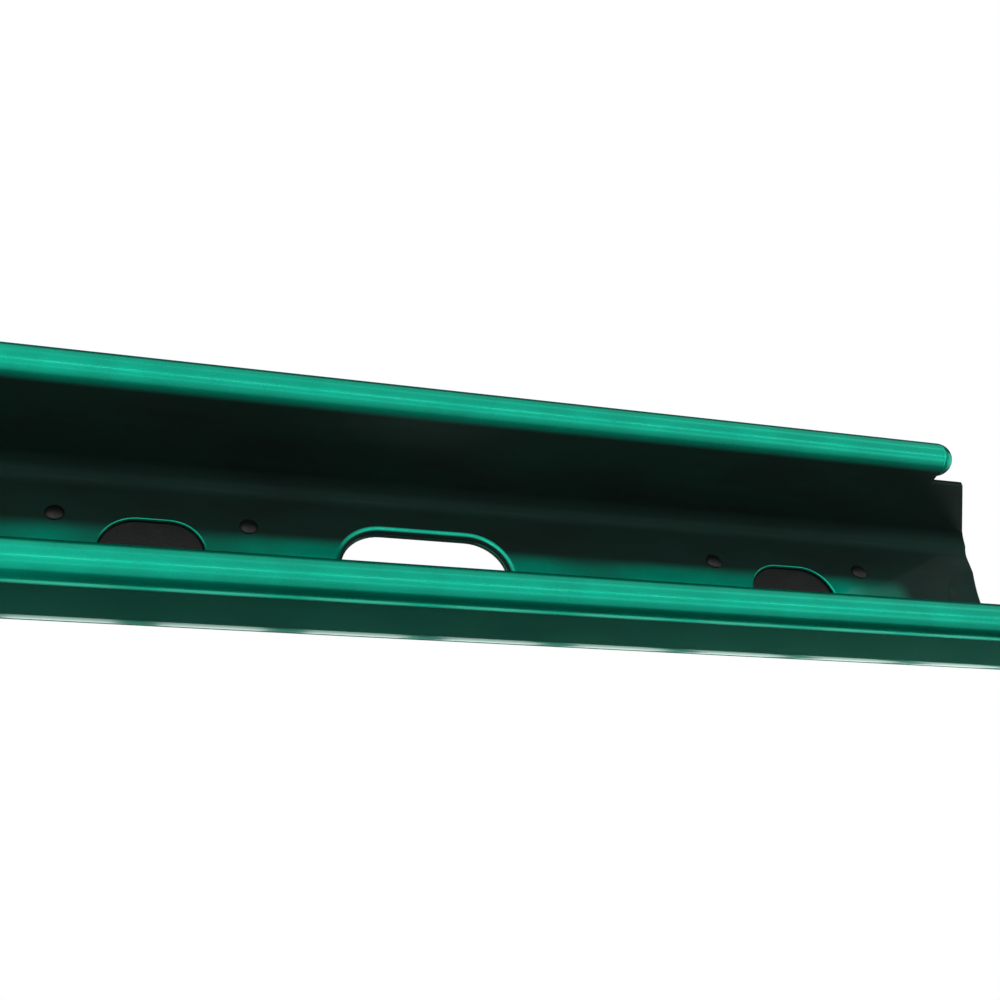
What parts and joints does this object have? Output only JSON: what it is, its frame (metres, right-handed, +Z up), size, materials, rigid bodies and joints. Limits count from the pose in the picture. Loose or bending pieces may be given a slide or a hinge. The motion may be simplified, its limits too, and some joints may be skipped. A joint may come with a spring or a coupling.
{
  "type": "delineator post",
  "caption": "Roll-formed channel post with rolled rims, punched slots and front reflectors, clamped at an adjustable height on a bolted foot.",
  "frame": {"origin": "middle of the underside of the base plate", "axes": "+Z up along the post, -Y the way the reflectors face, +Y the open back of the channel, +X across it"},
  "size_m": [0.18, 0.18, 1.2],
  "materials": {
    "green_paint": "high-gloss metallic green under clear coat",
    "galvanised_steel": "hot-dip galvanised, faint spangle",
    "zinc_steel": "zinc plated, satin",
    "black_plastic": "fine moulded texture",
    "black_rivet": "satin black",
    "gasket_rubber": "matt",
    "prism_silver": "metallised prism sheet",
    "amber_lens": "clear amber, prism pattern inside"
  },
  "bodies": {
    "foot": {"base_plate": "galvanised_steel", "foot_stub": "galvanised_steel", "foot_gussets": "galvanised_steel", "guide_block": "zinc_steel", "upper_clamp_plate": "galvanised_steel", "upper_clamp_bolt": "zinc_steel", "upper_clamp_washers": "zinc_steel", "upper_clamp_nut": "zinc_steel"},
    "post": {"post_channel": "green_paint", "top_rim_plugs": "green_paint", "foot_rim_plugs": "green_paint", "key_block": "zinc_steel", "lower_clamp_plate": "galvanised_steel", "slide_plate": "galvanised_steel", "lower_clamp_bolt": "zinc_steel", "lower_clamp_washers": "zinc_steel", "lower_clamp_nut": "zinc_steel", "upper_gasket": "gasket_rubber", "upper_housing": "black_plastic", "upper_prism_plate": "prism_silver", "upper_lens": "amber_lens", "upper_bezel": "black_plastic", "upper_rivets": "black_rivet", "lower_gasket": "gasket_rubber", "lower_housing": "black_plastic", "lower_prism_plate": "prism_silver", "lower_lens": "amber_lens", "lower_bezel": "black_plastic", "lower_rivets": "black_rivet"}
  },
  "joints": [
    {"name": "height_slide", "type": "slide", "parent": "foot", "child": "post", "axis": [0, 0, 1], "range_m": [-0.015, 0.015]}
  ]
}
